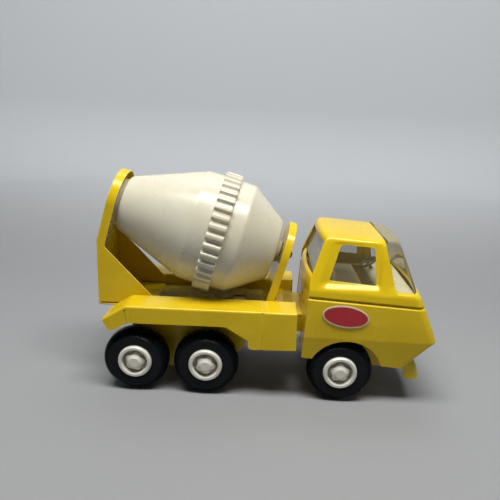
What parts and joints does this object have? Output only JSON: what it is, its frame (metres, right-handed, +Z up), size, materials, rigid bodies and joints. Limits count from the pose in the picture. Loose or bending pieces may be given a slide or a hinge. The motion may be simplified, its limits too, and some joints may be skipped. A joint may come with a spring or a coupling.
{
  "type": "toy cement mixer truck",
  "caption": "Pressed-steel toy cement mixer truck: tilted drum turning between a rear bracket and a front support, cab-over cab with clear windows, and free-rolling wheels.",
  "frame": {"origin": "on the ground, under the middle of the length and width", "axes": "+X towards the cab's nose, +Y towards the truck's left side, +Z up"},
  "size_m": [0.2412, 0.0944, 0.1541],
  "materials": {
    "yellow_enamel": "glossy enamel with small chips",
    "cream_plastic": "satin",
    "hub_plastic": "satin, dusty in the recesses",
    "interior_plastic": "matt",
    "clear_plastic": "clear, slightly smoky",
    "tyre": "matt, with fine side lugs",
    "steel": "dull plated",
    "badge": "printed oval sticker, plain"
  },
  "bodies": {
    "chassis": {"rear_body": "yellow_enamel", "chassis_frame": "yellow_enamel", "rear_bracket": "yellow_enamel", "front_support": "yellow_enamel", "cab_shell": "yellow_enamel", "cab_rear_panel": "yellow_enamel", "bumper": "yellow_enamel", "seat": "interior_plastic", "dashboard": "interior_plastic", "steering_column": "interior_plastic", "steering_wheel": "interior_plastic", "windshield": "clear_plastic", "rear_window": "clear_plastic", "side_window_left": "clear_plastic", "side_window_right": "clear_plastic", "rivet_front_support": "steel", "rivet_rear_bracket_left": "steel", "rivet_rear_bracket_right": "steel", "door_badge_right": "badge", "door_badge_left": "badge"},
    "drum": {"drum_rear_shell": "cream_plastic", "drum_front_shell": "cream_plastic", "grip_ring": "cream_plastic", "drum_pin": "steel", "drum_push_nut": "steel"},
    "rear_axle": {"rear_axle_rod": "steel", "rear_hub_right": "hub_plastic", "rear_hub_left": "hub_plastic", "rear_tyre_right": "tyre", "rear_tyre_left": "tyre"},
    "middle_axle": {"middle_axle_rod": "steel", "middle_hub_right": "hub_plastic", "middle_hub_left": "hub_plastic", "middle_tyre_right": "tyre", "middle_tyre_left": "tyre"},
    "front_axle": {"front_axle_rod": "steel", "front_hub_right": "hub_plastic", "front_hub_left": "hub_plastic", "front_tyre_right": "tyre", "front_tyre_left": "tyre"}
  },
  "joints": [
    {"name": "drum_spin", "type": "hinge", "parent": "chassis", "child": "drum", "pos_m": [-0.0372, 0, 0.1095], "axis": [0.9652, 0, -0.2615], "continuous": true},
    {"name": "rear_axle_spin", "type": "hinge", "parent": "chassis", "child": "rear_axle", "pos_m": [-0.0897, 0, 0.0232], "axis": [0, 1, 0], "continuous": true},
    {"name": "middle_axle_spin", "type": "hinge", "parent": "chassis", "child": "middle_axle", "pos_m": [-0.0396, 0, 0.0232], "axis": [0, 1, 0], "continuous": true},
    {"name": "front_axle_spin", "type": "hinge", "parent": "chassis", "child": "front_axle", "pos_m": [0.0553, 0, 0.0232], "axis": [0, 1, 0], "continuous": true}
  ]
}
